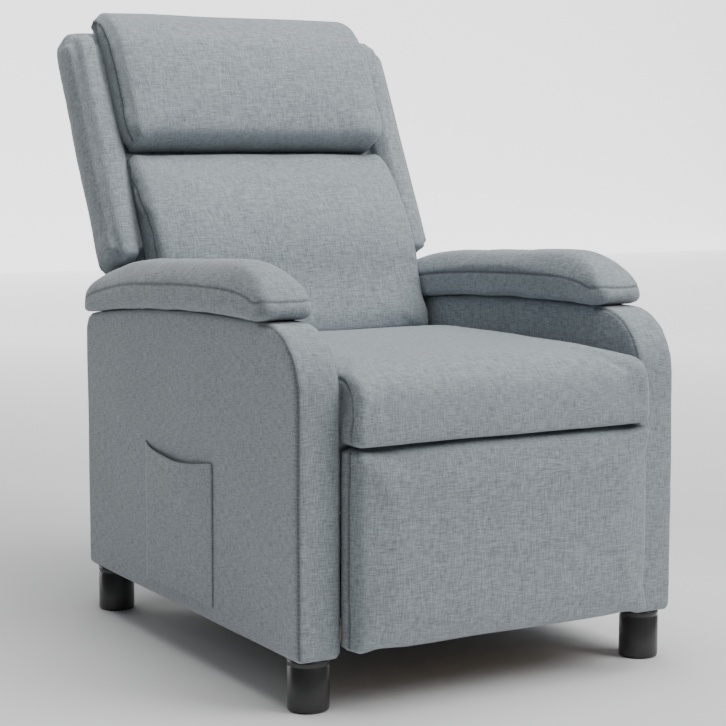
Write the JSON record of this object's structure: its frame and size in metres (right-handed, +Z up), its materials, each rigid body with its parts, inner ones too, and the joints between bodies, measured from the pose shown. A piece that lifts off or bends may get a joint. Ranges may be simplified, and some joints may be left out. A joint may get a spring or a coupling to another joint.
{
  "type": "recliner armchair",
  "caption": "Upholstered push-back recliner armchair with padded arms, winged leaning back, headrest, side pocket and a footrest that folds out on a scissor linkage.",
  "frame": {"origin": "on the floor, in the middle of the chair's width and length", "axes": "+Z up, -Y the way the chair faces, +X to the right for someone looking at its front"},
  "size_m": [0.6626, 0.9802, 1.0226],
  "materials": {
    "upholstery": "woven, light bluish grey melange with fine slubs",
    "leg_plastic": "smooth, semi-gloss black",
    "frame_wood": "sawn pine and plywood, bare",
    "mechanism_steel": "dark stoved enamel on pressed steel",
    "spring_steel": "drawn wire, oiled",
    "webbing": "black elastic webbing and non-woven dust cloth"
  },
  "bodies": {
    "base": {"arm_cover_left": "upholstery", "arm_cover_right": "upholstery", "arm_frame_left": "frame_wood", "arm_frame_right": "frame_wood", "arm_bottom_rail_left": "frame_wood", "arm_bottom_rail_right": "frame_wood", "arm_pad_left": "upholstery", "arm_pad_right": "upholstery", "leg_front_left": "leg_plastic", "leg_front_right": "leg_plastic", "leg_rear_left": "leg_plastic", "leg_rear_right": "leg_plastic", "side_pocket": "upholstery", "cross_rail_front": "frame_wood", "cross_rail_rear": "frame_wood", "rear_panel": "upholstery", "dust_cover": "webbing", "base_plate_left": "mechanism_steel", "base_plate_right": "mechanism_steel"},
    "front_swing": {"front_swing_link_left": "mechanism_steel", "front_swing_link_right": "mechanism_steel"},
    "rear_swing": {"rear_swing_link_left": "mechanism_steel", "rear_swing_link_right": "mechanism_steel"},
    "seat": {"seat_plate_left": "mechanism_steel", "seat_plate_right": "mechanism_steel", "seat_rail_front": "frame_wood", "seat_rail_rear": "frame_wood", "seat_rail_side_left": "frame_wood", "seat_rail_side_right": "frame_wood", "seat_cross_tube": "mechanism_steel", "seat_cushion": "upholstery", "seat_spring_1": "spring_steel", "seat_spring_2": "spring_steel", "seat_spring_3": "spring_steel"},
    "back": {"back_cover": "upholstery", "wing_left": "upholstery", "wing_right": "upholstery", "back_post_left": "frame_wood", "back_post_right": "frame_wood", "lumbar_cushion": "upholstery", "headrest_cushion": "upholstery", "back_bracket_left": "mechanism_steel", "back_bracket_right": "mechanism_steel", "back_rail_bottom": "frame_wood", "back_rail_middle": "frame_wood", "back_rail_top": "frame_wood", "back_strap_1": "webbing", "back_strap_2": "webbing"},
    "long_links": {"long_link_left": "mechanism_steel", "long_link_right": "mechanism_steel"},
    "carrying_links": {"carrying_link_left": "mechanism_steel", "carrying_link_right": "mechanism_steel"},
    "guide_links": {"guide_link_left": "mechanism_steel", "guide_link_right": "mechanism_steel"},
    "levelling_links": {"levelling_link_left": "mechanism_steel", "levelling_link_right": "mechanism_steel"},
    "footrest": {"footrest_bracket_left": "mechanism_steel", "footrest_bracket_right": "mechanism_steel", "footrest_board": "frame_wood", "footrest_pad": "upholstery"}
  },
  "joints": [
    {"name": "push_back", "type": "hinge", "parent": "base", "child": "front_swing", "pos_m": [0, -0.30715, 0.2258], "axis": [1, 0, 0], "range_deg": [0, 49]},
    {"name": "seat_level", "type": "hinge", "parent": "front_swing", "child": "seat", "pos_m": [0, -0.2401, 0.3], "axis": [1, 0, 0], "range_deg": [-49, 0]},
    {"name": "rear_swing", "type": "hinge", "parent": "base", "child": "rear_swing", "pos_m": [0, -0.03715, 0.2258], "axis": [1, 0, 0], "range_deg": [0, 49]},
    {"name": "back_tilt", "type": "hinge", "parent": "seat", "child": "back", "pos_m": [0, 0.2549, 0.345], "axis": [-1, 0, 0], "range_deg": [0, 27]},
    {"name": "long_link_swing", "type": "hinge", "parent": "seat", "child": "long_links", "pos_m": [0, -0.3451, 0.318], "axis": [-1, 0, 0], "range_deg": [0, 118.3]},
    {"name": "guide_link_swing", "type": "hinge", "parent": "seat", "child": "guide_links", "pos_m": [0, -0.3111, 0.338], "axis": [-1, 0, 0], "range_deg": [0, 119]},
    {"name": "carrying_link_turn", "type": "hinge", "parent": "long_links", "child": "carrying_links", "pos_m": [0, -0.2012, 0.1791], "axis": [1, 0, 0], "range_deg": [0, 111.5]},
    {"name": "levelling_link_turn", "type": "hinge", "parent": "long_links", "child": "levelling_links", "pos_m": [0, -0.1951, 0.215], "axis": [1, 0, 0], "range_deg": [0, 113.8]},
    {"name": "footrest_turn", "type": "hinge", "parent": "carrying_links", "child": "footrest", "pos_m": [0, -0.4081, 0.215], "axis": [-1, 0, 0], "range_deg": [0, 79.3]}
  ],
  "couplings": [
    {"joint": "seat_level", "follows": "push_back", "ratio": -1},
    {"joint": "rear_swing", "follows": "push_back", "ratio": 1},
    {"joint": "back_tilt", "follows": "push_back", "ratio": 0.55102},
    {"joint": "long_link_swing", "follows": "push_back", "ratio": 2.4127},
    {"joint": "carrying_link_turn", "follows": "push_back", "ratio": 2.2745},
    {"joint": "footrest_turn", "follows": "push_back", "ratio": 1.6169},
    {"joint": "guide_link_swing", "follows": "push_back", "ratio": 2.4286},
    {"joint": "levelling_link_turn", "follows": "push_back", "ratio": 2.3224}
  ]
}
